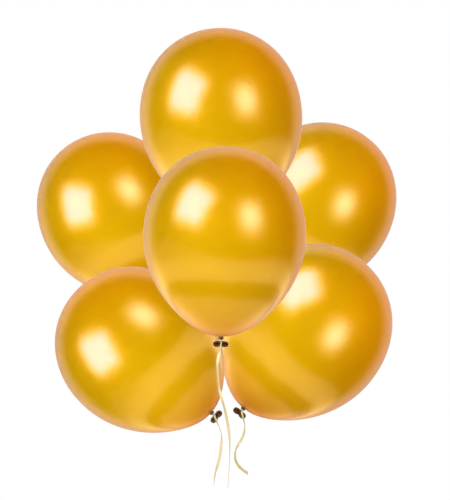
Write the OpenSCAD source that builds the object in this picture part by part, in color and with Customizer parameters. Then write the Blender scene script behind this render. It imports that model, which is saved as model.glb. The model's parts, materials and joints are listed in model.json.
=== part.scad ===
// Bunch of six round latex balloons, tied at the neck with curling ribbon.
// Origin: the gather knot where the six tethers meet. +X right, +Y back, +Z up.

/* [Balloon sizes] */
// Widest radius of the front balloon
front_r = 140; // [136:1:142]
// Widest radius of the top balloon
top_r = 149; // [145:1:150]
// Widest radius of the left balloon
left_r = 143; // [139:1:144]
// Widest radius of the right balloon
right_r = 147; // [143:1:148]
// Widest radius of the lower left balloon
lower_left_r = 141; // [137:1:141]
// Widest radius of the lower right balloon
lower_right_r = 149; // [145:1:149]

/* [Balloon outline] */
// Height of the crown above the widest circle, as a part of the widest radius
crown_h = 1.09; // [1.00:0.01:1.10]
// Roundness of the crown's curve, 2 is an ellipse
crown_power = 2.08; // [2.00:0.01:2.20]
// Depth of the neck below the widest circle, as a part of the widest radius
neck_h = 1.24; // [1.20:0.01:1.30]
// Thickness of the skin, thicker than stretched latex so that it is a solid
skin_wall = 0.5; // [0.4:0.1:1.0]

/* [Neck, knot and lip] */
// Radius at which the skin gathers into pleats round the neck
pleat_r = 8.6; // [7:0.1:10]
// Radius of the twisted neck where it enters the knot
neck_r = 4.2; // [3.6:0.1:4.6]
// Radius of the knot
knot_r = 4.8; // [4.4:0.1:5.0]
// Radius of the tight stem that the ribbon is tied round
stem_r = 2.4; // [2.0:0.1:2.4]
// Length of the flattened lip, end to end
lip_w = 26.6; // [22:0.2:27]
// Thickness of the flattened lip, front to back
lip_t = 8.4; // [7:0.2:8.4]
// Diameter of the rolled bead round the lip
bead_d = 3.6; // [3:0.1:4]

/* [Ribbon] */
// Width of the curling ribbon in the hanging tails
tail_d = 5; // [4:0.5:5]
// Diameter of the ribbon where it is pulled tight into a tether
tether_d = 3; // [2:0.5:3]
// Outer radius of the ribbon tied round a stem
tie_r = 4.6; // [4.2:0.1:4.6]
// Height of the ribbon tied round a stem
tie_h = 3; // [2.4:0.2:3]
// Radius of the knot that gathers the tethers
gather_r = 10; // [9:0.5:11]

/* [Hidden] */

// Each balloon: centre of its tie, lean to the right and forward tip in degrees, widest radius.
FRONT = [[-2, -164, -126], 2, 2, front_r];
TOP = [[11, 36, 83], -4, -6, top_r];
LEFT = [[-129, 142, -47], -28, -24, left_r];
RIGHT = [[111, 194, -36], 26, -24, right_r];
LOWER_LEFT = [[-15, -64, -262], -50, -14, lower_left_r];
LOWER_RIGHT = [[35, -10, -259], 40, -15, lower_right_r];

// Heights along a balloon's own axis, from the centre of its tie.
gap = 0.3;
knot_z0 = tie_h / 2 + gap;
knot_z1 = 7.2;
pleat_z = 8;
lip_z1 = -tie_h / 2 - 2 * gap;
lip_z0 = -8;
stem_gap = 0.4;

// Outline: steps along the crown's curve and along the curve down to the neck.
crown_steps = 16;
lower_steps = 14;
// Handles of the lower curve, as parts of the widest radius: first straight down, then to the neck.
handle_drop = 0.77;
handle_r = 0.30;
handle_h = 1.255;

smooth = 96;
fine = 48;
cord_sides = 8;

// Tethers, from the tie to the gather knot.
FRONT_TETHER = [
    [-2, -158, -126], [-2, -140, -128], [-2, -115, -126], [-2, -85, -113],
    [-1, -55, -86], [0, -28, -48], [0, -5, -6]
];
TOP_TETHER = [[11, 30, 83], [10, 24, 80], [9, 20, 72], [6, 14, 50], [3, 7, 25], [1, 2, 6]];
LEFT_TETHER = [
    [-126, 139, -43], [-122, 134, -38], [-116, 127, -31], [-107, 117, -24],
    [-85, 92, -17], [-42, 46, -9], [-6, 5, -2]
];
RIGHT_TETHER = [
    [109, 190, -32], [107, 184, -27], [102, 175, -21], [96, 163, -15],
    [75, 128, -9], [40, 70, -4], [5, 7, 0]
];
LOWER_LEFT_TETHER = [
    [-15, -58, -263], [-14, -40, -267], [-13, -20, -268], [-10, 0, -260], [-8, 18, -238],
    [-9, 30, -200], [-10, 36, -150], [-9, 22, -80], [-4, 2, -6]
];
LOWER_RIGHT_TETHER = [
    [35, -4, -259], [36, 20, -265], [34, 45, -262], [28, 62, -240], [15, 70, -215],
    [1, 70, -185], [-7, 58, -145], [-3, 36, -75], [2, 5, -5]
];

// Hanging tails, from the tie to the free end.
FRONT_TAIL = [
    [-2, -170, -126], [-2, -174, -130], [-3, -176, -137], [-5, -176, -149], [-8, -176, -163],
    [-8, -176, -178], [-7, -176, -193], [-5, -177, -208], [-1, -178, -224], [4, -178, -242],
    [8, -177, -260], [11, -176, -278], [13, -175, -296], [13, -175, -312], [13, -175, -329],
    [12, -176, -346], [11, -176, -362], [10, -176, -378]
];
LOWER_LEFT_TAIL = [
    [-15, -70, -262], [-14, -75, -264], [-12, -79, -268], [-9, -79, -275], [-5, -79, -284],
    [-2, -79, -294], [-1, -79, -305], [-2, -80, -317], [-3, -80, -328], [-5, -80, -339],
    [-8, -80, -350], [-11, -79, -360], [-13, -79, -368], [-14, -79, -376], [-15, -79, -385]
];
LOWER_RIGHT_TAIL = [
    [35, -16, -259], [35, -21, -261], [36, -25, -266], [38, -25, -274], [40, -25, -283],
    [40, -25, -293], [38, -26, -302], [34, -26, -311], [29, -26, -319], [25, -26, -327],
    [23, -25, -335], [23, -25, -343], [25, -25, -350], [29, -25, -357], [35, -24, -363],
    [40, -24, -367], [46, -24, -371]
];

// Puts a balloon's pieces, drawn round its own axis with the tie at the origin, in the bunch.
module placed(balloon) {
    translate(balloon[0])
        rotate([balloon[2], balloon[1], 0])
            children();
}

// Outline of a balloon of widest radius r whose widest circle is at height mid.
function crown_point(r, mid, turn) =
    [r * pow(sin(turn), 2 / crown_power), mid + r * crown_h * pow(cos(turn), 2 / crown_power)];

function lower_point(r, end_r, mid, t) =
    [
        r * pow(1 - t, 3) + 3 * r * t * pow(1 - t, 2)
            + 3 * r * handle_r * t * t * (1 - t) + end_r * pow(t, 3),
        mid - 3 * r * handle_drop * t * pow(1 - t, 2)
            - 3 * r * handle_h * t * t * (1 - t) - r * neck_h * pow(t, 3)
    ];

function outline(r, end_r, mid) = concat(
    [for (i = [lower_steps : -1 : 1]) lower_point(r, end_r, mid, i / lower_steps)],
    [for (i = [crown_steps : -1 : 1]) crown_point(r, mid, 90 * i / crown_steps)],
    [[0, mid + r * crown_h]]
);

// Inflated skin: a thin hollow shell, open only at the neck that the knot closes.
module skin(balloon) {
    r = balloon[3];
    mid = pleat_z + neck_h * r;
    outer = concat([[neck_r, knot_z1]], outline(r, pleat_r, mid));
    inner = concat([[neck_r - skin_wall, knot_z1]], outline(r - skin_wall, pleat_r, mid));
    color("goldenrod")
        placed(balloon)
            rotate_extrude($fn = smooth)
                polygon(concat(outer, [for (i = [len(inner) - 1 : -1 : 0]) inner[i]]));
}

// Knot in the neck, with the stem that runs down through the tie.
module knot(balloon) {
    round_r = 1.6;
    color("saddlebrown")
        placed(balloon) {
            rotate_extrude($fn = fine)
                polygon(concat(
                    [[0, lip_z1], [stem_r, lip_z1], [stem_r, knot_z0]],
                    [for (a = [-90 : 30 : 0])
                        [knot_r - round_r + round_r * cos(a), knot_z0 + round_r + round_r * sin(a)]],
                    [for (a = [0 : 30 : 90])
                        [knot_r - round_r + round_r * cos(a), knot_z1 - round_r + round_r * sin(a)]],
                    [[0, knot_z1]]
                ));
        }
}

// Open end of the balloon: a flattened flare with a rolled bead round its oval mouth.
module lip(balloon) {
    bead_r = bead_d / 2;
    end_r = lip_t / 2 - bead_r;
    end_x = lip_w / 2 - lip_t / 2;
    flare_r = end_x + end_r;
    mouth_t = 1.6;
    color("saddlebrown")
        placed(balloon) {
            difference() {
                intersection() {
                    translate([0, 0, lip_z0])
                        cylinder(h = lip_z1 - lip_z0, r1 = flare_r, r2 = stem_r, $fn = fine);
                    translate([-lip_w / 2, -end_r, lip_z0])
                        cube([lip_w, 2 * end_r, lip_z1 - lip_z0]);
                }
                intersection() {
                    translate([0, 0, lip_z0 - 1])
                        cylinder(h = 5, r1 = flare_r, r2 = stem_r, $fn = fine);
                    translate([-lip_w / 2, -mouth_t / 2, lip_z0 - 1])
                        cube([lip_w, mouth_t, 5]);
                }
            }
            for (side = [-1, 1]) {
                translate([0, side * end_r, lip_z0])
                    rotate([0, 90, 0])
                        cylinder(h = 2 * end_x, r = bead_r, center = true, $fn = fine);
                translate([side * end_x, 0, lip_z0])
                    rotate([0, 0, -90 * side])
                        rotate_extrude(angle = 180, $fn = fine)
                            translate([end_r, 0])
                                circle(r = bead_r, $fn = fine);
            }
        }
}

// Ribbon wound round the stem, round outside so that the balloon can lean in it.
module tie(balloon) {
    color("wheat")
        placed(balloon)
            difference() {
                intersection() {
                    sphere(r = tie_r, $fn = fine);
                    cube([2 * tie_r, 2 * tie_r, tie_h], center = true);
                }
                cylinder(h = 2 * tie_h, r = stem_r + stem_gap, center = true, $fn = fine);
            }
}

// Direction of a route at its point i.
function unit(v) = v / norm(v);
function heading(route, i) =
    unit(route[min(i + 1, len(route) - 1)] - route[max(i - 1, 0)]);

// One ring of a cord of diameter d round point i of its route.
function ring(route, i, d) =
    let (
        along = heading(route, i),
        across = unit(cross(along, [1, 0, 0])),
        other = cross(along, across)
    )
    [for (k = [0 : cord_sides - 1])
        let (turn = 360 * k / cord_sides)
        route[i] + d / 2 * (cos(turn) * across + sin(turn) * other)];

// Length of ribbon swept along its route as one tube with flat ends.
module cord(route, d) {
    last = len(route) - 1;
    points = [for (i = [0 : last]) each ring(route, i, d)];
    sides = [
        for (i = [0 : last - 1], k = [0 : cord_sides - 1])
            let (next = (k + 1) % cord_sides, low = i * cord_sides, high = low + cord_sides)
            each [[low + k, high + next, low + next], [low + k, high + k, high + next]]
    ];
    start_cap = [for (k = [0 : cord_sides - 1]) k];
    end_cap = [for (k = [cord_sides - 1 : -1 : 0]) last * cord_sides + k];
    color("wheat")
        polyhedron(points = points, faces = concat(sides, [start_cap], [end_cap]));
}

// Lump of knotted ribbon that holds the six tethers together.
module gather_knot() {
    waist = 2;
    color("wheat")
        union() {
            rotate_extrude($fn = fine)
                translate([gather_r - waist * 2, 0])
                    circle(r = waist * 2, $fn = fine);
            sphere(r = gather_r - waist, $fn = fine);
        }
}

skin(FRONT);  // front_skin
knot(FRONT);  // front_knot
lip(FRONT);  // front_lip
tie(FRONT);  // front_tie
cord(FRONT_TETHER, tether_d);  // front_tether
cord(FRONT_TAIL, tail_d);  // front_tail
skin(TOP);  // top_skin
knot(TOP);  // top_knot
lip(TOP);  // top_lip
tie(TOP);  // top_tie
cord(TOP_TETHER, tether_d);  // top_tether
skin(LEFT);  // left_skin
knot(LEFT);  // left_knot
lip(LEFT);  // left_lip
tie(LEFT);  // left_tie
cord(LEFT_TETHER, tether_d);  // left_tether
skin(RIGHT);  // right_skin
knot(RIGHT);  // right_knot
lip(RIGHT);  // right_lip
tie(RIGHT);  // right_tie
cord(RIGHT_TETHER, tether_d);  // right_tether
skin(LOWER_LEFT);  // lower_left_skin
knot(LOWER_LEFT);  // lower_left_knot
lip(LOWER_LEFT);  // lower_left_lip
tie(LOWER_LEFT);  // lower_left_tie
cord(LOWER_LEFT_TETHER, tether_d);  // lower_left_tether
cord(LOWER_LEFT_TAIL, tail_d);  // lower_left_tail
skin(LOWER_RIGHT);  // lower_right_skin
knot(LOWER_RIGHT);  // lower_right_knot
lip(LOWER_RIGHT);  // lower_right_lip
tie(LOWER_RIGHT);  // lower_right_tie
cord(LOWER_RIGHT_TETHER, tether_d);  // lower_right_tether
cord(LOWER_RIGHT_TAIL, tail_d);  // lower_right_tail
gather_knot();
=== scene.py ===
"""Bunch of six pearl-gold latex balloons on curling ribbon: the looks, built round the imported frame."""

import json
import math
from collections import namedtuple

import bpy
from mathutils import Matrix, Vector


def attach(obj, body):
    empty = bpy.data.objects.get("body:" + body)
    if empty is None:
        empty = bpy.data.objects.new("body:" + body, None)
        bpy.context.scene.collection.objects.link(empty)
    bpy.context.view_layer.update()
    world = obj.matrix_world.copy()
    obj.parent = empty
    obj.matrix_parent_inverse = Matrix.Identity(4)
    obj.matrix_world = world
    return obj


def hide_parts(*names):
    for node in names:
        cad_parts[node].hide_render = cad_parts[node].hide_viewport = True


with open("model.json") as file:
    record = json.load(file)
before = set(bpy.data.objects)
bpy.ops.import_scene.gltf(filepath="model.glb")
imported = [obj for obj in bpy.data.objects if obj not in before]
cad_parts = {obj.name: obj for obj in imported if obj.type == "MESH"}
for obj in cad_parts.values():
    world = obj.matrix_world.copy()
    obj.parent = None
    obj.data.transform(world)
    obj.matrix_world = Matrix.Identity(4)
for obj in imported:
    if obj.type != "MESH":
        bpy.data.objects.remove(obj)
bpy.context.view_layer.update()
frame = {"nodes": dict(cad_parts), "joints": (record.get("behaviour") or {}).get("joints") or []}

MM = 0.001
BALLOONS = ("front", "top", "left", "right", "lower_left", "lower_right")
JOINTS = {joint["name"]: joint for joint in frame["joints"]}
PALE = (1.0, 1.0, 1.0)


# ---------------------------------------------------------------- camera

VIEW_X = 5 * MM
VIEW_Z = 30 * MM
VIEW_DISTANCE = 3.67
LENS_MM = 146.2
CAMERA_PLACE = Vector((VIEW_X, -VIEW_DISTANCE, VIEW_Z))


def make_camera():
    """Level camera on the photograph's line of sight, straight along +Y."""
    data = bpy.data.cameras.new("camera")
    data.lens = LENS_MM
    data.clip_end = 60
    camera = bpy.data.objects.new("camera", data)
    camera.location = CAMERA_PLACE
    camera.rotation_euler = (math.radians(90), 0, 0)
    bpy.context.scene.collection.objects.link(camera)
    bpy.context.scene.camera = camera


make_camera()


# ---------------------------------------------------------------- mesh helpers

def mix(a, b, share):
    """Value part of the way from a to b."""
    return a + (b - a) * share


def ease(share):
    """Smooth step from 0 to 1."""
    share = min(max(share, 0.0), 1.0)
    return share * share * (3 - 2 * share)


def keyed(keys, at):
    """Smooth value at a place along (place, value) keys."""
    for (low, first), (high, second) in zip(keys[:-1], keys[1:]):
        if at <= high:
            return mix(first, second, ease((at - low) / (high - low)))
    return keys[-1][1]


def shell(rings, uvs=None, first_cap=True, last_cap=True):
    """Vertices, faces and corner UVs of a surface that runs through closed rings of points."""
    count = len(rings[0])
    points = [p for ring in rings for p in ring]
    faces, corners = [], []
    for i in range(len(rings) - 1):
        for k in range(count):
            n = (k + 1) % count
            left, right = k / count, (k + 1) / count
            faces.append((i * count + k, i * count + n, (i + 1) * count + n, (i + 1) * count + k))
            corners.append([(left, i), (right, i), (right, i + 1), (left, i + 1)])
    for wanted, ring, turn in ((first_cap, 0, -1), (last_cap, len(rings) - 1, 1)):
        if wanted:
            centre = sum((Vector(p) for p in rings[ring]), Vector()) / count
            points.append(tuple(centre))
            for k in range(count):
                a, b = ring * count + k, ring * count + (k + 1) % count
                faces.append((a, b, len(points) - 1)[::turn])
                corner = [(k / count, ring), ((k + 1) / count, ring), ((k + 0.5) / count, ring)]
                corners.append(corner[::turn])
    along = uvs or [i / (len(rings) - 1) for i in range(len(rings))]
    return points, faces, [[(u, along[v]) for u, v in face] for face in corners]


SHARP_ANGLE = 50


def make_object(name, parts, material, placing=Matrix()):
    """One smooth object from one or more (points, faces, uvs) shells, drawn in the placing's own axes."""
    points, faces, uvs = [], [], []
    for part_points, part_faces, part_uvs in parts:
        start = len(points)
        points += [tuple(placing @ Vector(p)) for p in part_points]
        faces += [tuple(start + i for i in face) for face in part_faces]
        uvs += part_uvs
    mesh = bpy.data.meshes.new(name)
    mesh.from_pydata(points, [], faces)
    layer = mesh.uv_layers.new(name="UVMap")
    for loop, uv in zip(layer.data, (uv for face in uvs for uv in face)):
        loop.uv = uv
    mesh.polygons.foreach_set("use_smooth", [True] * len(mesh.polygons))
    mesh.validate()
    mesh.set_sharp_from_angle(angle=math.radians(SHARP_ANGLE))
    mesh.materials.append(material)
    made = bpy.data.objects.new(name, mesh)
    bpy.context.scene.collection.objects.link(made)
    return made


def smooth_route(points, steps):
    """Points along a Catmull-Rom curve through a route, with that many steps to a span."""
    points = [Vector(p) for p in points]
    padded = [2 * points[0] - points[1]] + points + [2 * points[-1] - points[-2]]
    made = []
    for i in range(1, len(padded) - 2):
        a, b, c, d = padded[i - 1:i + 3]
        for k in range(steps):
            t = k / steps
            made.append(0.5 * (2 * b + (c - a) * t + (2 * a - 5 * b + 4 * c - d) * t ** 2
                               + (3 * b - a - 3 * c + d) * t ** 3))
    made.append(points[-1])
    return made


def route_length(points):
    """Length along a row of points."""
    return sum((b - a).length for a, b in zip(points[:-1], points[1:]))


def tube(path, radius, sides=16, closed=False, squash=1.0, up=(0, 0, 1)):
    """Shell along a path: round, or flattened along up where squash is under 1."""
    rings = []
    last = len(path) - 1
    for i, point in enumerate(path):
        before = path[i - 1] if closed or i else path[0]
        after = path[(i + 1) % len(path)] if closed or i < last else path[last]
        along = (after - before).normalized()
        across = along.cross(Vector(up)).normalized()
        other = along.cross(across)
        wide = radius(i / last) if callable(radius) else radius
        rings.append([point + wide * (math.cos(a) * across + squash * math.sin(a) * other)
                      for a in (2 * math.pi * k / sides for k in range(sides))])
    if closed:
        rings.append(rings[0])
    return shell(rings, first_cap=not closed, last_cap=not closed)


# ---------------------------------------------------------------- materials

def new_material(name):
    """Material with its node tree, its Principled shader, and a function that adds a node."""
    material = bpy.data.materials.new(name)
    material.use_nodes = True
    tree = material.node_tree
    shader = tree.nodes["Principled BSDF"]

    def add(kind, **settings):
        node = tree.nodes.new(kind)
        for key, value in settings.items():
            if key in node.inputs:
                node.inputs[key].default_value = value
            else:
                setattr(node, key, value)
        return node

    return material, tree, shader, add


def ramp(node, stops):
    """Sets a colour ramp's stops, each (place, colour)."""
    elements = node.color_ramp.elements
    while len(elements) < len(stops):
        elements.new(0.5)
    for element, (place, colour) in zip(elements, stops):
        element.position = place
        element.color = (*colour, 1)


def set_range(node, from_low, from_high, to_low, to_high):
    """Sets a Map Range node's four limits."""
    node.inputs["From Min"].default_value = from_low
    node.inputs["From Max"].default_value = from_high
    node.inputs["To Min"].default_value = to_low
    node.inputs["To Max"].default_value = to_high


GOLD = (0.86, 0.50, 0.002)
# The next two golds are painted sheen. The base colour turns to them as the skin faces away, standing in for
# reflection at grazing angles.
GOLD_PAINTED_SHEEN = (0.98, 0.58, 0.008)
GOLD_PAINTED_RIM_SHEEN = (0.98, 0.47, 0.055)
# How the gold's colour is multiplied, from the neck (0) to the crown (1) along the skin's rings.
NECK_TO_CROWN = (
    (0.0, (0.45, 0.30, 0.3)), (0.13, (0.70, 0.51, 0.45)), (0.19, (0.82, 0.68, 0.62)),
    (0.27, (0.96, 0.90, 0.9)), (0.34, PALE), (0.975, PALE), (1.0, (0.88, 0.80, 0.8)),
)
# Where along those rings the denser latex starts and stops turning glossy, and how glossy it is at first.
DULL_TO = 0.15
GLOSSY_FROM = 0.28
DULL_COAT = 0.35
# The neck's brown. The darker one sits in the hollows of the fold bump as painted shade, and the paler one on
# its ridges.
BROWN = (0.040, 0.014, 0.006)
BROWN_PALE = (0.20, 0.085, 0.035)
CREAM = (0.88, 0.74, 0.41)
CREAM_PALE = (0.95, 0.87, 0.62)


def pearl_latex():
    """Stretched pearl latex: gold mica under a clear gloss, with painted sheen that turns it brighter and
    pinker towards its silhouette.
    """
    material, tree, shader, add = new_material("pearl_latex")
    link = tree.links.new
    place = add("ShaderNodeTexCoord")

    # Painted sheen: the base colour goes from yellow gold to a brighter, pinker gold as the skin turns away
    # from the view. This stands in for the reflection at the silhouette.
    edge = add("ShaderNodeLayerWeight", Blend=0.5)
    tint = add("ShaderNodeValToRGB")
    ramp(tint, [(0.0, GOLD), (0.35, GOLD), (0.58, GOLD_PAINTED_SHEEN), (0.84, GOLD_PAINTED_RIM_SHEEN)])
    link(edge.outputs["Facing"], tint.inputs["Fac"])

    # Less stretched, denser latex close to the neck and at the crown's tip.
    split = add("ShaderNodeSeparateXYZ")
    link(place.outputs["UV"], split.inputs["Vector"])
    dense = add("ShaderNodeValToRGB")
    ramp(dense, NECK_TO_CROWN)
    link(split.outputs["Y"], dense.inputs["Fac"])
    toned = add("ShaderNodeVectorMath", operation="MULTIPLY")
    link(tint.outputs["Color"], toned.inputs[0])
    link(dense.outputs["Color"], toned.inputs[1])

    # The latex by the neck is duller too.
    gloss = add("ShaderNodeMapRange")
    set_range(gloss, DULL_TO, GLOSSY_FROM, DULL_COAT, 1.0)
    link(split.outputs["Y"], gloss.inputs["Value"])
    link(gloss.outputs["Result"], shader.inputs["Coat Weight"])

    # Slow streaks, where the dipped latex is a little thicker or thinner.
    clouds = add("ShaderNodeTexNoise", Scale=9.0, Detail=3.0, Roughness=0.5)
    link(place.outputs["Object"], clouds.inputs["Vector"])
    cloud_shade = add("ShaderNodeMapRange")
    set_range(cloud_shade, 0.3, 0.7, 0.965, 1.03)
    link(clouds.outputs["Fac"], cloud_shade.inputs["Value"])

    # Mica flakes, each its own small shade.
    flakes = add("ShaderNodeTexVoronoi", Scale=2600.0)
    link(place.outputs["Object"], flakes.inputs["Vector"])
    flake_shade = add("ShaderNodeMapRange")
    set_range(flake_shade, 0, 1, 0.93, 1.07)
    link(flakes.outputs["Color"], flake_shade.inputs["Value"])

    shade = add("ShaderNodeMath", operation="MULTIPLY")
    link(cloud_shade.outputs["Result"], shade.inputs[0])
    link(flake_shade.outputs["Result"], shade.inputs[1])
    coloured = add("ShaderNodeVectorMath", operation="SCALE")
    link(toned.outputs["Vector"], coloured.inputs[0])
    link(shade.outputs["Value"], coloured.inputs["Scale"])
    link(coloured.outputs["Vector"], shader.inputs["Base Color"])

    # Fine ripple of the skin.
    grain = add("ShaderNodeTexNoise", Scale=900.0, Detail=2.0)
    link(place.outputs["Object"], grain.inputs["Vector"])
    bump = add("ShaderNodeBump", Strength=0.05, Distance=0.0002)
    link(grain.outputs["Fac"], bump.inputs["Height"])
    link(bump.outputs["Normal"], shader.inputs["Normal"])

    shader.inputs["Metallic"].default_value = 0.14
    shader.inputs["Roughness"].default_value = 0.34
    shader.inputs["Specular IOR Level"].default_value = 0.0
    shader.inputs["Coat Roughness"].default_value = 0.15
    shader.inputs["Coat IOR"].default_value = 1.8
    return material


def dark_latex():
    """Unstretched latex of the neck: dense brown that varies at random, with painted shade that makes it
    darker where its fold bump is low, and a dull gleam.
    """
    material, tree, shader, add = new_material("dark_latex")
    link = tree.links.new
    place = add("ShaderNodeTexCoord")
    folds_and_shade = add("ShaderNodeTexNoise", Scale=260.0, Detail=4.0, Roughness=0.6)
    link(place.outputs["Object"], folds_and_shade.inputs["Vector"])
    # Painted shade: the noise that sets the fold bump also darkens the brown in its hollows, besides giving
    # it random tone.
    tint = add("ShaderNodeValToRGB")
    ramp(tint, [(0.3, BROWN), (0.75, BROWN_PALE)])
    link(folds_and_shade.outputs["Fac"], tint.inputs["Fac"])
    link(tint.outputs["Color"], shader.inputs["Base Color"])
    bump = add("ShaderNodeBump", Strength=0.35, Distance=0.0004)
    link(folds_and_shade.outputs["Fac"], bump.inputs["Height"])
    link(bump.outputs["Normal"], shader.inputs["Normal"])
    shader.inputs["Roughness"].default_value = 0.42
    shader.inputs["Metallic"].default_value = 0.15
    shader.inputs["Coat Weight"].default_value = 0.25
    shader.inputs["Coat Roughness"].default_value = 0.3
    return material


def curling_ribbon():
    """Poly curling ribbon: cream, finely ribbed along its length, with a satin gleam."""
    material, tree, shader, add = new_material("curling_ribbon")
    link = tree.links.new
    place = add("ShaderNodeTexCoord")
    ribs = add("ShaderNodeTexWave", wave_type="BANDS", bands_direction="X", Scale=2.2, Distortion=0.0)
    link(place.outputs["UV"], ribs.inputs["Vector"])
    clouds = add("ShaderNodeTexNoise", Scale=60.0, Detail=3.0)
    link(place.outputs["Object"], clouds.inputs["Vector"])
    tint = add("ShaderNodeValToRGB")
    ramp(tint, [(0.35, CREAM), (0.65, CREAM_PALE)])
    link(clouds.outputs["Fac"], tint.inputs["Fac"])
    link(tint.outputs["Color"], shader.inputs["Base Color"])
    bump = add("ShaderNodeBump", Strength=0.25, Distance=0.0001)
    link(ribs.outputs["Fac"], bump.inputs["Height"])
    link(bump.outputs["Normal"], shader.inputs["Normal"])
    shader.inputs["Roughness"].default_value = 0.35
    shader.inputs["Sheen Weight"].default_value = 0.2
    shader.inputs["Coat Weight"].default_value = 0.3
    shader.inputs["Coat Roughness"].default_value = 0.2
    return material


LATEX = pearl_latex()
DARK = dark_latex()
RIBBON = curling_ribbon()


# ---------------------------------------------------------------- ribbon

RIBBON_THICK = 0.3 * MM
RIBBON_STEPS = 6
ROUTE_STEPS = 8
TAIL_WIDTH = 5 * MM
TETHER_WIDTH = 3 * MM
# Half the slant of the scissor cut at a ribbon's end, as a part of its width.
CUT_SLANT = 0.45
# How narrow a ribbon is where its tie bunches it, as a part of its width, and how soon it opens out.
BUNCHED = 0.35
OPEN_LENGTH = 6 * MM

# Hanging tails' routes, in millimetres, from the tie to the free end.
FRONT_TAIL = (
    (-2, -170, -126), (-2, -174, -130), (-3, -176, -137), (-5, -176, -149), (-8, -176, -163),
    (-8, -176, -178), (-7, -176, -193), (-5, -177, -208), (-1, -178, -224), (4, -178, -242),
    (8, -177, -260), (11, -176, -278), (13, -175, -296), (13, -175, -312), (13, -175, -329),
    (12, -176, -346), (11, -176, -362), (10, -176, -378),
)
LOWER_LEFT_TAIL = (
    (-15, -70, -262), (-14, -75, -264), (-12, -79, -268), (-9, -79, -275), (-5, -79, -284),
    (-2, -79, -294), (-1, -79, -305), (-2, -80, -317), (-3, -80, -328), (-5, -80, -339),
    (-8, -80, -350), (-11, -79, -360), (-13, -79, -368), (-14, -79, -376), (-15, -79, -385),
)
LOWER_RIGHT_TAIL = (
    (35, -16, -259), (35, -21, -261), (36, -25, -266), (38, -25, -274), (40, -25, -283),
    (40, -25, -293), (38, -26, -302), (34, -26, -311), (29, -26, -319), (25, -26, -327),
    (23, -25, -335), (23, -25, -343), (25, -25, -350), (29, -25, -357), (35, -24, -363),
    (40, -24, -367), (46, -24, -371),
)

# How far each tail has turned from flat to the front, in degrees, at shares of its length.
FRONT_TURN = (
    (0, 70), (0.05, 62), (0.12, 12), (0.21, 52), (0.29, 58), (0.38, 18), (0.45, 50), (0.54, 25), (0.6, 22),
    (0.7, 62), (0.8, 78), (1, 86),
)
LOWER_LEFT_TURN = (
    (0, 45), (0.1, 52), (0.22, 78), (0.32, 76), (0.45, 32), (0.55, 26), (0.72, 34), (0.85, 62), (1, 80),
)
LOWER_RIGHT_TURN = (
    (0, 45), (0.14, 55), (0.25, 74), (0.38, 45), (0.5, 34), (0.61, 66), (0.7, 45), (0.85, 6), (1, 10),
)

# The same for a tether; it hangs edge-on where it leaves its tie.
TETHER_TURN = ((0, 70), (0.1, 88), (0.45, 92), (0.7, 200), (1, 290))

# The tethers' routes, in millimetres, from the tie to the gather knot.
TETHERS = {
    "front": ((-2, -158, -126), (-2, -140, -128), (-2, -115, -126), (-2, -85, -113),
              (-1, -55, -86), (0, -28, -48), (0, -5, -6)),
    "top": ((11, 30, 83), (10, 24, 80), (9, 20, 72), (6, 14, 50), (3, 7, 25), (1, 2, 6)),
    "left": ((-126, 139, -43), (-122, 134, -38), (-116, 127, -31), (-107, 117, -24),
             (-85, 92, -17), (-42, 46, -9), (-6, 5, -2)),
    "right": ((109, 190, -32), (107, 184, -27), (102, 175, -21), (96, 163, -15),
              (75, 128, -9), (40, 70, -4), (5, 7, 0)),
    "lower_left": ((-15, -58, -263), (-14, -40, -267), (-13, -20, -268), (-10, 0, -260), (-8, 18, -238),
                   (-9, 30, -200), (-10, 36, -150), (-9, 22, -80), (-4, 2, -6)),
    "lower_right": ((35, -4, -259), (36, 20, -265), (34, 45, -262), (28, 62, -240), (15, 70, -215),
                    (1, 70, -185), (-7, 58, -145), (-3, 36, -75), (2, 5, -5)),
}


def ribbon_strip(route, width, turn, cup=0.06):
    """Shell of a flat ribbon that turns about its route; at 0 degrees its face looks along Y.
    Its section is hollowed by cup, a part of its width, and it is bunched narrow at its start."""
    rings, along_uv = [], []
    last = len(route) - 1
    travelled = 0.0
    total = route_length(route)
    for i, point in enumerate(route):
        if i:
            travelled += (point - route[i - 1]).length
        along = (route[min(i + 1, last)] - route[max(i - 1, 0)]).normalized()
        flat = Vector((0, 1, 0)).cross(along)
        flat = flat.normalized() if flat.length > 0.2 else Vector((1, 0, 0))
        face = along.cross(flat).normalized()
        angle = math.radians(turn(travelled / total))
        wide = math.cos(angle) * flat + math.sin(angle) * face
        thick = along.cross(wide).normalized()
        slant = along * (CUT_SLANT * width) if i == last else Vector()
        half = width / 2 * mix(BUNCHED, 1.0, ease(travelled / OPEN_LENGTH))
        top, bottom = [], []
        for k in range(RIBBON_STEPS + 1):
            side = 2 * k / RIBBON_STEPS - 1
            hollow = thick * (2 * cup * half * (side * side - 0.33))
            middle = point + wide * (side * half) + hollow + slant * side
            top.append(middle + thick * (RIBBON_THICK / 2))
            bottom.append(middle - thick * (RIBBON_THICK / 2))
        rings.append(top + bottom[::-1])
        along_uv.append(travelled / TAIL_WIDTH)
    return shell(rings, uvs=along_uv)


def in_metres(route):
    """A route's points as vectors in metres."""
    return [Vector(p) * MM for p in route]


def make_tail(name, route, turns):
    """One hanging ribbon, put in place of the CAD tail and hung from the tail's body."""
    points = smooth_route(in_metres(route), ROUTE_STEPS)
    strip = ribbon_strip(points, TAIL_WIDTH, lambda share: keyed(turns, share))
    tail = make_object(name + "_ribbon_tail", [strip], RIBBON)
    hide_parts(name + "_tail")
    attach(tail, name + "_tail")
    return tail


TAILS = {
    name: make_tail(name, route, turns) for name, route, turns in (
        ("front", FRONT_TAIL, FRONT_TURN),
        ("lower_left", LOWER_LEFT_TAIL, LOWER_LEFT_TURN),
        ("lower_right", LOWER_RIGHT_TAIL, LOWER_RIGHT_TURN),
    )
}


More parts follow.
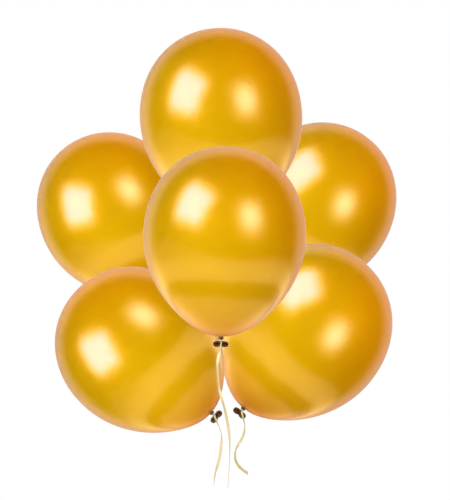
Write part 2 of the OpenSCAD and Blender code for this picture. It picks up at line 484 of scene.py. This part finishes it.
def make_tether(name):
    """The ribbon's short end, pulled from its tie into the gather knot, with a slow twist."""
    points = smooth_route(in_metres(TETHERS[name]), ROUTE_STEPS)
    strip = ribbon_strip(points, TETHER_WIDTH, lambda share: keyed(TETHER_TURN, share), cup=0.12)
    tether = make_object(name + "_ribbon_tether", [strip], RIBBON)
    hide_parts(name + "_tether")
    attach(tether, "core")
    return tether


# ---------------------------------------------------------------- balloon

# The skin's outline. Heights and depths are parts of its widest radius: the crown above the widest ring,
# the neck below it, and the two handles of the curve between them.
CROWN_HEIGHT = 1.09
CROWN_POWER = 2.08
NECK_DEPTH = 1.24
HANDLE_DROP = 0.77
HANDLE_R = 0.30
HANDLE_H = 1.255
# The pleated ring where the curve ends, and the tight neck inside the tie.
PLEAT_Z = 8 * MM
PLEAT_R = 8.6 * MM
NECK_R = 4.2 * MM
NECK_Z = 7.2 * MM
NECK_END_R = 2.6 * MM
# How far each pleat stands out, and the radius over which the pleats fade.
PLEAT_DEPTH = 0.7 * MM
PLEAT_FADE = 9 * MM
# How far the skin strays from round.
UNEVEN = 0.25 * MM
SEGMENTS = 120
CROWN_RINGS = 44
LOWER_RINGS = 52


def own_frame(name):
    """Matrix that takes a balloon's own axes to the bunch, and the balloon's lean to the right.
    Its own origin is the centre of its tie, +Z runs up to its crown, and +X along its lip."""
    up = Vector(JOINTS[name + "_twist"]["axis"]).normalized()
    lean = math.atan2(up.x, up.z)
    right = Vector((math.cos(lean), 0, -math.sin(lean)))
    placing = Matrix((right, up.cross(right), up)).transposed().to_4x4()
    placing.translation = Vector(JOINTS[name + "_twist"]["pos_m"])
    return placing, lean


def widest_radius(name, placing):
    """The balloon's widest radius, measured on its CAD skin."""
    inward = placing.inverted()
    return max((inward @ v.co).xy.length for v in frame["nodes"][name + "_skin"].data.vertices)


def skin_outline(radius):
    """Half outline of the skin from the neck up to the crown, as (radius, height) pairs."""
    middle = PLEAT_Z + NECK_DEPTH * radius
    outline = [(NECK_END_R, NECK_Z - 2.4 * MM), (3.4 * MM, NECK_Z - 1.2 * MM), (NECK_R, NECK_Z),
               (5.4 * MM, NECK_Z + 0.35 * MM), (7.0 * MM, NECK_Z + 0.6 * MM)]
    for i in range(LOWER_RINGS, 0, -1):
        t = i / LOWER_RINGS
        s = 1 - t
        r = radius * (s ** 3 + 3 * t * s * s + 3 * HANDLE_R * t * t * s) + PLEAT_R * t ** 3
        z = middle - radius * (3 * HANDLE_DROP * t * s * s + 3 * HANDLE_H * t * t * s + NECK_DEPTH * t ** 3)
        outline.append((r, z))
    for i in range(CROWN_RINGS, 0, -1):
        turn = math.pi / 2 * i / CROWN_RINGS
        outline.append((radius * math.sin(turn) ** (2 / CROWN_POWER),
                        middle + radius * CROWN_HEIGHT * math.cos(turn) ** (2 / CROWN_POWER)))
    return outline


def pleats(angle, r, seed):
    """Depth of the gathered pleats at an angle round the neck, fading out up the skin."""
    fade = math.exp(-(max(r - NECK_R, 0) / PLEAT_FADE) ** 1.5)
    wave = (0.5 * math.sin(13 * angle + seed) + 0.3 * math.sin(21 * angle + 2.3 * seed)
            + 0.2 * math.sin(8 * angle + 0.7 * seed))
    return fade * wave * PLEAT_DEPTH


def make_skin(name, placing, radius, seed):
    """The inflated skin: a surface of revolution, a little uneven, gathered in pleats at the neck."""
    rings = []
    for r, z in skin_outline(radius):
        # The pleats start a little way out from the neck's end.
        clear = min(1.0, max(0.0, (r - NECK_END_R) / (2 * MM)))
        ring = []
        for k in range(SEGMENTS):
            angle = 2 * math.pi * k / SEGMENTS
            wave = math.sin(2 * angle + seed) + 0.6 * math.sin(3 * angle - seed)
            rough = r + UNEVEN * (r / radius) * wave
            pleat = pleats(angle, r, seed) * clear
            ring.append((rough * math.cos(angle), rough * math.sin(angle), z + pleat))
        rings.append(ring)
    skin = make_object(name + "_balloon_skin", [shell(rings)], LATEX, placing)
    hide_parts(name + "_skin")
    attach(skin, name + "_balloon")
    return skin


# The tight stem's profile through the tie, as (height, radius) pairs in millimetres.
STEM = ((-2.05, 2.2), (-1.2, 2.35), (0.0, 2.3), (1.6, 2.4), (2.6, 2.7), (4.5, 2.6), (6.4, 3.0), (7.4, 3.9))
KNOT_STEPS = 120
KNOT_R = 1.72 * MM
STEM_STEPS = 36


def make_knot(name, placing):
    """Overhand knot of the neck, round the tight stem that runs down through the tie."""
    loop = []
    for k in range(KNOT_STEPS):
        t = 2 * math.pi * k / KNOT_STEPS
        loop.append(Vector(((math.sin(t) + 2 * math.sin(2 * t)) * MM,
                            (math.cos(t) - 2 * math.cos(2 * t)) * MM,
                            4.5 * MM - 0.95 * math.sin(3 * t) * MM)))
    crossing = tube(loop, KNOT_R, sides=18, closed=True)
    stem = []
    for z, r in STEM:
        ring = []
        for k in range(STEM_STEPS):
            a = 2 * math.pi * k / STEM_STEPS
            ripple = 1 + 0.06 * math.sin(7 * a + z)
            ring.append((r * ripple * math.cos(a) * MM, r * ripple * math.sin(a) * MM, z * MM))
        stem.append(ring)
    knot = make_object(name + "_neck_knot", [crossing, shell(stem)], DARK, placing)
    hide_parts(name + "_knot")
    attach(knot, name + "_balloon")
    return knot


# The flattened lip, in millimetres: its ring's half lengths to the middle of its bead, the bead, the ring's
# centre and how far it tips forward, its pinched middle, and where it starts below the tie.
LIP_HALF_X = 11.2
LIP_HALF_Y = 4.3
BEAD_R = 2.0
LIP_Z = -6.2
LIP_TIP = math.radians(65)
PINCH = 0.34
PINCH_HALF = 3.6
STEM_Z = -2.05
LIP_STEPS = 96


def oval(half_x, half_y, rise, tip, centre_z, seed, ripple):
    """One ring round the lip, pinched at its middle: an oval in a plane tipped forward, in metres."""
    ring = []
    for k in range(LIP_STEPS):
        a = 2 * math.pi * k / LIP_STEPS
        x = half_x * math.tanh(1.3 * math.cos(a)) / math.tanh(1.3)
        pinch = 1 - PINCH * math.exp(-(x / PINCH_HALF) ** 2) * min(1, half_x / LIP_HALF_X)
        fold = ripple * (0.6 * math.sin(9 * a + seed) + 0.4 * math.sin(14 * a + 1.7 * seed))
        y = half_y * pinch * math.sin(a) + fold * math.sin(a)
        up = rise + 0.35 * math.sin(2 * a + seed) * abs(x) / 13 - 0.5 * (x / 12) ** 2
        ring.append(((x + fold * math.cos(a)) * MM,
                     (y * math.cos(tip) + up * math.sin(tip)) * MM,
                     (centre_z - y * math.sin(tip) + up * math.cos(tip)) * MM))
    return ring


def make_lip(name, placing, seed):
    """The balloon's open end: a short pleated flare, the rolled bead, and the mouth inside it."""
    rings = [oval(1.9, 1.9, 0, 0, STEM_Z, seed, 0)]
    for share in (0.0, 0.2, 0.4, 0.6, 0.8):
        half_x = mix(2.1, LIP_HALF_X, share ** 0.75)
        half_y = mix(2.1, LIP_HALF_Y, share)
        tip = LIP_TIP * share ** 0.7
        centre_z = mix(-2.1, LIP_Z, share)
        rings.append(oval(half_x, half_y, 1.4 * share, tip, centre_z, seed, 0.05 + 0.2 * share))
    for degrees in range(110, -206, -21):
        a = math.radians(degrees)
        out = BEAD_R * math.cos(a)
        rise = BEAD_R * math.sin(a)
        rings.append(oval(LIP_HALF_X + out, LIP_HALF_Y + out, rise, LIP_TIP, LIP_Z, seed, 0.1))
    rings.append(oval(LIP_HALF_X - 2.4, 1.5, 0.4, LIP_TIP, LIP_Z, seed, 0.05))
    rings.append(oval(LIP_HALF_X - 5.0, 0.8, 1.0, LIP_TIP, LIP_Z, seed, 0))
    lip = make_object(name + "_rolled_lip", [shell(rings)], DARK, placing)
    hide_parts(name + "_lip")
    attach(lip, name + "_balloon")
    return lip


# A tie, in millimetres: its turns wind from the inner radius to the outer. Half is half its height, and
# its face is crowned across that height.
TIE_TURNS = 2.6
TIE_STEPS = 110
TIE_HALF = 0.7
TIE_INNER_R = 2.55
TIE_OUTER_R = 3.2
TIE_THICK = 0.3
TIE_CROWN = 0.25


def make_tie(name, placing):
    """Turns of ribbon cinched round the stem, with one small overhand hitch at the back."""
    section = ((-1, 0), (0, TIE_CROWN), (1, 0), (1, -TIE_THICK), (0, TIE_CROWN - TIE_THICK), (-1, -TIE_THICK))
    rings = []
    for i in range(TIE_STEPS + 1):
        share = i / TIE_STEPS
        a = 2 * math.pi * TIE_TURNS * share + math.pi / 2
        r = mix(TIE_INNER_R, TIE_OUTER_R, share)
        lift = 0.22 * math.sin(2 * math.pi * TIE_TURNS * share * 0.8)
        rings.append([
            ((r + out) * MM * math.cos(a), (r + out) * MM * math.sin(a), (side * TIE_HALF + lift) * MM)
            for side, out in section
        ])
    hitch = []
    for k in range(61):
        t = math.pi * k / 30
        hitch.append(Vector((1.5 * math.sin(t), 3.2 + 0.5 * math.cos(t), 0.8 * math.sin(2 * t))) * MM)
    bump = tube(hitch[:-1], 0.5 * MM, sides=10, closed=True, squash=0.6)
    # The two bunched ends that leave the turns, one to the front and one to the back.
    ends = [tube([Vector((0, side * y, 0.25 * (y - 3))) * MM for y in (2.9, 4.0, 5.2, 6.4)],
                 lambda share: mix(1.3, 0.9, share) * MM, sides=12, squash=0.4) for side in (-1, 1)]
    tie = make_object(name + "_ribbon_tie", [shell(rings), bump] + ends, RIBBON, placing)
    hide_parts(name + "_tie")
    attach(tie, name + "_tie")
    return tie


def make_gather_knot():
    """Lump of knotted ribbon where the tethers meet: two interlaced flat torus knots."""
    parts = []
    for turn, tall in ((0.0, 3.4), (0.55, 3.0)):
        loop = []
        for k in range(220):
            t = 2 * math.pi * k / 220
            r = 5.4 + 2.3 * math.cos(3 * t + turn)
            loop.append(Vector((r * math.cos(2 * t + turn), r * math.sin(2 * t + turn),
                                tall * math.sin(3 * t + turn))) * MM)
        parts.append(tube(loop, 1.9 * MM, sides=12, closed=True, squash=0.55))
    knot = make_object("gather_ribbon_knot", parts, RIBBON)
    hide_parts("gather_knot")
    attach(knot, "core")
    return knot


# Each balloon's pieces, its skin first, and the middle of its widest ring with its lean.
PIECES = {}
CENTRES = {}
for number, balloon in enumerate(BALLOONS):
    own, lean = own_frame(balloon)
    wide = widest_radius(balloon, own)
    seed = 1.3 + 2.1 * number
    PIECES[balloon] = [
        make_skin(balloon, own, wide, seed),
        make_knot(balloon, own),
        make_lip(balloon, own, seed),
        make_tie(balloon, own),
        make_tether(balloon),
    ]
    CENTRES[balloon] = (own @ Vector((0, 0, PLEAT_Z + NECK_DEPTH * wide)), lean)
for balloon, tail in TAILS.items():
    PIECES[balloon].append(tail)
GATHER = make_gather_knot()


# ---------------------------------------------------------------- studio

# Colour of the surrounding light from the front of the studio (0) to behind the bunch (1).
SURROUND = (
    (0.0, (0.04, 0.03, 0.005)), (0.70, (0.05, 0.04, 0.01)), (0.86, (0.94, 0.75, 0.58)),
    (1.0, (0.86, 0.62, 0.46)),
)
SURROUND_LEFT = 1.05
SURROUND_RIGHT = 0.8


def make_world():
    """White surround for the camera; for the light, dim in front and bright and warm behind."""
    world = bpy.data.worlds.new("studio")
    bpy.context.scene.world = world
    world.use_nodes = True
    tree = world.node_tree
    tree.nodes.clear()
    link = tree.links.new
    output = tree.nodes.new("ShaderNodeOutputWorld")
    both = tree.nodes.new("ShaderNodeMixShader")
    rays = tree.nodes.new("ShaderNodeLightPath")
    seen = tree.nodes.new("ShaderNodeBackground")
    lit = tree.nodes.new("ShaderNodeBackground")
    direction = tree.nodes.new("ShaderNodeTexCoord")
    split = tree.nodes.new("ShaderNodeSeparateXYZ")
    front_to_back = tree.nodes.new("ShaderNodeMapRange")
    surround = tree.nodes.new("ShaderNodeValToRGB")
    side = tree.nodes.new("ShaderNodeMapRange")
    seen.inputs["Color"].default_value = (*PALE, 1)
    set_range(front_to_back, -1, 1, 0, 1)
    ramp(surround, SURROUND)
    set_range(side, -1, 1, SURROUND_LEFT, SURROUND_RIGHT)
    link(direction.outputs["Generated"], split.inputs["Vector"])
    link(split.outputs["Y"], front_to_back.inputs["Value"])
    link(front_to_back.outputs["Result"], surround.inputs["Fac"])
    link(surround.outputs["Color"], lit.inputs["Color"])
    link(split.outputs["X"], side.inputs["Value"])
    link(side.outputs["Result"], lit.inputs["Strength"])
    link(rays.outputs["Is Camera Ray"], both.inputs["Fac"])
    link(lit.outputs["Background"], both.inputs[1])
    link(seen.outputs["Background"], both.inputs[2])
    link(both.outputs["Shader"], output.inputs["Surface"])


PALE_FLOOR_R = 2.4
PALE_FLOOR_FADE_FROM = 0.7
PALE_FLOOR_Z = -0.75
PALE_FLOOR_STEPS = 96


def make_floor():
    """Pale round floor under the bunch, fading out towards its rim."""
    count = PALE_FLOOR_STEPS
    points = [(0, 0, 0)] + [(PALE_FLOOR_R * math.cos(a), PALE_FLOOR_R * math.sin(a), 0)
                            for a in (2 * math.pi * k / count for k in range(count))]
    faces = [(0, 1 + k, 1 + (k + 1) % count) for k in range(count)]
    mesh = bpy.data.meshes.new("floor")
    mesh.from_pydata(points, [], faces)
    floor = bpy.data.objects.new("floor", mesh)
    floor.location = (0, 0, PALE_FLOOR_Z)
    bpy.context.scene.collection.objects.link(floor)
    material, tree, shader, add = new_material("pale_floor")
    link = tree.links.new
    place = add("ShaderNodeTexCoord")
    reach = add("ShaderNodeVectorMath", operation="LENGTH")
    fade = add("ShaderNodeMapRange")
    set_range(fade, PALE_FLOOR_FADE_FROM, PALE_FLOOR_R, 1, 0)
    link(place.outputs["Object"], reach.inputs[0])
    link(reach.outputs["Value"], fade.inputs["Value"])
    link(fade.outputs["Result"], shader.inputs["Alpha"])
    grain = add("ShaderNodeTexNoise", Scale=3.0, Detail=2.0)
    link(place.outputs["Object"], grain.inputs["Vector"])
    paper = add("ShaderNodeValToRGB")
    ramp(paper, [(0.3, (0.86, 0.86, 0.85)), (0.7, (0.90, 0.90, 0.89))])
    link(grain.outputs["Fac"], paper.inputs["Fac"])
    link(paper.outputs["Color"], shader.inputs["Base Color"])
    shader.inputs["Roughness"].default_value = 0.9
    shader.inputs["Specular IOR Level"].default_value = 0.1
    mesh.materials.append(material)
    floor.visible_diffuse = False
    floor.visible_glossy = False
    return floor


# A softbox faces a balloon from a direction, shifted right and up across that line and rolled.
# Directions are for an upright balloon, and turn with its lean. Its glow is a plain colour, or a name
# in GLOWS where its cloth is brightest in the middle.
Softbox = namedtuple("Softbox", "name shape direction right up roll distance width height radiance glow")
# How far in from its edges a glowing softbox reaches its full strength, as a part of its size,
# and its colour from the edge (0) to the middle (1).
KEY_COLOURS = (
    (0.0, (0, 0, 0)), (0.35, (0.24, 0.20, 0.09)), (0.7, (0.56, 0.41, 0.47)), (1.0, (0.8, 0.52, 1.0)),
)
FILL_COLOURS = (
    (0.0, (0, 0, 0)), (0.35, (0.22, 0.19, 0.10)), (0.7, (0.62, 0.60, 0.48)), (1.0, (0.9, 0.92, 0.80)),
)
GLOWS = {"key_glow": (0.34, KEY_COLOURS), "fill_glow": (0.5, FILL_COLOURS)}
# Light with little or no blue in it, so that the body of the gold stays deep.
BODY_COLOUR = (1.0, 1.0, 0.06)
WARM_COLOUR = (1.0, 0.46, 0.0)

# The bright oval of studio floor below a balloon, which its skin mirrors: how far below the balloon it lies,
# its middle and its size; and the dim ring on it: its middle, how much deeper than wide it is, and its waves.
FLOOR_DROP = 0.9
FLOOR_X = -4.38
FLOOR_Y = 0.4
FLOOR_W = 15.16
FLOOR_D = 5.5
RING_Y = 0.62
RING_DEEPER = 1.09
RING_WAVE = 0.22
# Light from the floor at shares of this distance out from the ring's middle.
FLOOR_REACH = 4.0
FLOOR_INSIDE = (0.84, 0.60, 0.27)
FLOOR_RING = (0.06, 0.04, 0.01)
FLOOR_OUTSIDE = (1.18, 0.94, 0.39)
FLOOR_GLOW = (
    (0.0, FLOOR_INSIDE), (0.205, FLOOR_INSIDE), (0.225, FLOOR_RING), (0.30, FLOOR_RING),
    (0.3225, FLOOR_OUTSIDE), (0.42, FLOOR_OUTSIDE), (0.7, (0.42, 0.30, 0.14)), (1.0, (0.34, 0.24, 0.11)),
)
# The floor's strength this far to the left and to the right, and the part of it that is left once it has
# faded out behind the balloon.
FLOOR_SIDE = 2
FLOOR_LEFT = 0.98
FLOOR_RIGHT = 1.04
FLOOR_FADE_FROM = 0.8
FLOOR_FADE_TO = 1.5
FLOOR_BEHIND = 0.3

MIRRORED = (
    Softbox("key", "RECTANGLE", (-0.65, -0.49, 0.58), 0.06, -0.15, -10, 1.5, 1.9, 1.8, 7.7, "key_glow"),
    Softbox("fill", "RECTANGLE", (0.587, -0.74, 0.328), -0.07, 0.0, 0, 1.6, 1.65, 1.7, 5.0, "fill_glow"),
)
BODY = (
    Softbox("body_front", "RECTANGLE", (-0.34, -0.94, 0.06), 0.0, 0.0, 0, 2.0, 2.2, 2.2, 2.5, BODY_COLOUR),
    Softbox("body_warm", "RECTANGLE", (0.6, -0.2, 0.78), 0.0, 0.0, 0, 2.0, 2.0, 2.0, 2.2, WARM_COLOUR),
)
# Softboxes for the ribbon and the dark latex, warmed by the gold round them.
TRIM_COLOUR = (1.0, 0.93, 0.74)
TRIM = (
    Softbox("trim_key", "RECTANGLE", (-0.5, -0.75, 0.45), 0.0, 0.0, 0, 1.6, 1.2, 1.2, 6.2, TRIM_COLOUR),
    Softbox("trim_fill", "RECTANGLE", (0.7, -0.65, 0.2), 0.0, 0.0, 0, 1.6, 1.0, 1.2, 3.2, TRIM_COLOUR),
    Softbox("trim_back", "RECTANGLE", (0.3, 0.9, 0.3), 0.0, 0.0, 0, 1.8, 1.5, 1.5, 2.4, TRIM_COLOUR),
)


def area_light(name, shape, width, height, radiance, place, axes, group):
    """Area light that shines back along its own Z, and lights and shades only the pieces in its group."""
    data = bpy.data.lights.new(name, "AREA")
    data.shape = shape
    data.size = width
    data.size_y = height
    fill = 1.0 if shape == "RECTANGLE" else math.pi / 4
    data.energy = radiance * math.pi * width * height * fill
    light = bpy.data.objects.new(name, data)
    light.matrix_world = Matrix.Translation(place) @ axes.to_4x4()
    light.visible_camera = False
    bpy.context.scene.collection.objects.link(light)
    light.light_linking.receiver_collection = group
    light.light_linking.blocker_collection = group
    return light


def add_glow(light, name):
    """Makes an area light fall off smoothly towards its edges, through the glow's colours."""
    reach, colours = GLOWS[name]
    light.color = PALE
    light.use_nodes = True
    tree = light.node_tree
    link = tree.links.new
    place = tree.nodes.new("ShaderNodeNewGeometry")
    split = tree.nodes.new("ShaderNodeSeparateXYZ")
    both = tree.nodes.new("ShaderNodeMath")
    both.operation = "MULTIPLY"
    glow = tree.nodes.new("ShaderNodeValToRGB")
    ramp(glow, colours)
    link(place.outputs["Parametric"], split.inputs["Vector"])
    for number, axis in enumerate("XY"):
        inward = tree.nodes.new("ShaderNodeMath")
        inward.operation = "PINGPONG"
        inward.inputs[1].default_value = 0.5
        rise = tree.nodes.new("ShaderNodeMapRange")
        rise.interpolation_type = "SMOOTHSTEP"
        set_range(rise, 0, reach, 0, 1)
        link(split.outputs[axis], inward.inputs[0])
        link(inward.outputs["Value"], rise.inputs["Value"])
        link(rise.outputs["Result"], both.inputs[number])
    link(both.outputs["Value"], glow.inputs["Fac"])
    link(glow.outputs["Color"], tree.nodes["Emission"].inputs["Color"])


def add_softbox(prefix, box, centre, turned, group):
    """Lights a group with one softbox, in axes turned about a centre."""
    away = Vector(box.direction).normalized()
    across = Vector((0, 0, 1)).cross(away).normalized()
    over = away.cross(across)
    axes = Matrix((across, over, away)).transposed()
    place = centre + turned @ (away * box.distance + across * box.right + over * box.up)
    axes = turned @ axes @ Matrix.Rotation(math.radians(box.roll), 3, "Z")
    light = area_light(prefix + box.name, box.shape, box.width, box.height, box.radiance, place, axes,
                       group)
    if box.glow in GLOWS:
        add_glow(light.data, box.glow)
    else:
        light.data.color = box.glow
    return light


def add_floor_light(prefix, centre, turned, group):
    """The floor's light: bright, with a dim wavy ring, and fading behind the balloon."""
    place = centre + turned @ Vector((FLOOR_X, FLOOR_Y, -FLOOR_DROP))
    axes = turned @ Matrix(((1, 0, 0), (0, -1, 0), (0, 0, -1)))
    light = area_light(prefix + "floor_light", "ELLIPSE", FLOOR_W, FLOOR_D, 1.0, place, axes, group)
    light.data.use_nodes = True
    tree = light.data.node_tree
    link = tree.links.new
    share = tree.nodes.new("ShaderNodeNewGeometry")
    spot = tree.nodes.new("ShaderNodeVectorMath")
    spot.operation = "MULTIPLY_ADD"
    spot.inputs[1].default_value = (FLOOR_W, -FLOOR_D / RING_DEEPER, 0)
    far_edge = FLOOR_Y + FLOOR_D / 2
    spot.inputs[2].default_value = (FLOOR_X - FLOOR_W / 2, (far_edge - RING_Y) / RING_DEEPER, 0)
    out = tree.nodes.new("ShaderNodeVectorMath")
    out.operation = "LENGTH"
    waves = tree.nodes.new("ShaderNodeTexNoise")
    waves.inputs["Scale"].default_value = 1.6
    waves.inputs["Detail"].default_value = 1.0
    wavy = tree.nodes.new("ShaderNodeMath")
    wavy.operation = "MULTIPLY_ADD"
    wavy.inputs[1].default_value = RING_WAVE
    reach = tree.nodes.new("ShaderNodeMapRange")
    set_range(reach, RING_WAVE / 2, FLOOR_REACH + RING_WAVE / 2, 0, 1)
    glow = tree.nodes.new("ShaderNodeValToRGB")
    ramp(glow, FLOOR_GLOW)
    split = tree.nodes.new("ShaderNodeSeparateXYZ")
    side = tree.nodes.new("ShaderNodeMapRange")
    set_range(side, -FLOOR_SIDE, FLOOR_SIDE, FLOOR_LEFT, FLOOR_RIGHT)
    behind = tree.nodes.new("ShaderNodeMapRange")
    set_range(behind, FLOOR_FADE_FROM, FLOOR_FADE_TO, 1, FLOOR_BEHIND)
    strength = tree.nodes.new("ShaderNodeMath")
    strength.operation = "MULTIPLY"
    link(share.outputs["Parametric"], spot.inputs[0])
    link(spot.outputs["Vector"], out.inputs[0])
    link(spot.outputs["Vector"], waves.inputs["Vector"])
    link(waves.outputs["Fac"], wavy.inputs[0])
    link(out.outputs["Value"], wavy.inputs[2])
    link(wavy.outputs["Value"], reach.inputs["Value"])
    link(reach.outputs["Result"], glow.inputs["Fac"])
    link(glow.outputs["Color"], tree.nodes["Emission"].inputs["Color"])
    link(spot.outputs["Vector"], split.inputs["Vector"])
    link(split.outputs["X"], side.inputs["Value"])
    link(split.outputs["Y"], behind.inputs["Value"])
    link(side.outputs["Result"], strength.inputs[0])
    link(behind.outputs["Result"], strength.inputs[1])
    link(strength.outputs["Value"], tree.nodes["Emission"].inputs["Strength"])


def light_group(name, pieces):
    """Collection of the pieces that a light is linked to."""
    group = bpy.data.collections.new(name)
    bpy.context.scene.collection.children.link(group)
    for piece in pieces:
        group.objects.link(piece)
    return group


# How far some balloons' studios are tipped back, in degrees.
TIPPED_BACK = {"lower_left": 8, "left": 5, "right": 2}


def light_skin(name):
    """The balloon's own studio, turned with its lean: mirrored softboxes and floor, and body light."""
    centre, lean = CENTRES[name]
    skin = PIECES[name][0]
    skin.visible_diffuse = False
    skin.visible_glossy = False
    skin.visible_shadow = False
    group = light_group(name + "_lit", [skin])
    sight = Vector((0, 1, 0)).rotation_difference(centre - CAMERA_PLACE).to_matrix()
    tip = Matrix.Rotation(math.radians(-TIPPED_BACK.get(name, 0)), 3, "X")
    turned = tip @ sight @ Matrix.Rotation(lean, 3, "Y")
    for box in MIRRORED:
        add_softbox(name + "_", box, centre, turned, group).visible_diffuse = False
    add_floor_light(name + "_", centre, turned, group)
    for box in BODY:
        add_softbox(name + "_", box, centre, turned, group).visible_glossy = False


WASH_SIZE = 7.0
WASH_RADIANCE = 1.2
WASH_PLACE = Vector((0, 0, 3.2))


def light_floor(floor):
    """One wide soft light from above that keeps the floor pale."""
    group = light_group("floor_lit", [floor])
    light = area_light("floor_wash", "ELLIPSE", WASH_SIZE, WASH_SIZE, WASH_RADIANCE, WASH_PLACE,
                       Matrix.Identity(3), group)
    light.visible_glossy = False


TRIM_CENTRE = Vector((VIEW_X, 0, -0.2))


def light_trim():
    """One set of softboxes for every piece but the skins."""
    trim = [piece for pieces in PIECES.values() for piece in pieces[1:]] + [GATHER]
    group = light_group("trim_lit", trim)
    for box in TRIM:
        add_softbox("", box, TRIM_CENTRE, Matrix.Identity(3), group)


make_world()
light_floor(make_floor())
for balloon in BALLOONS:
    light_skin(balloon)
light_trim()
bpy.context.scene.view_settings.view_transform = "Standard"
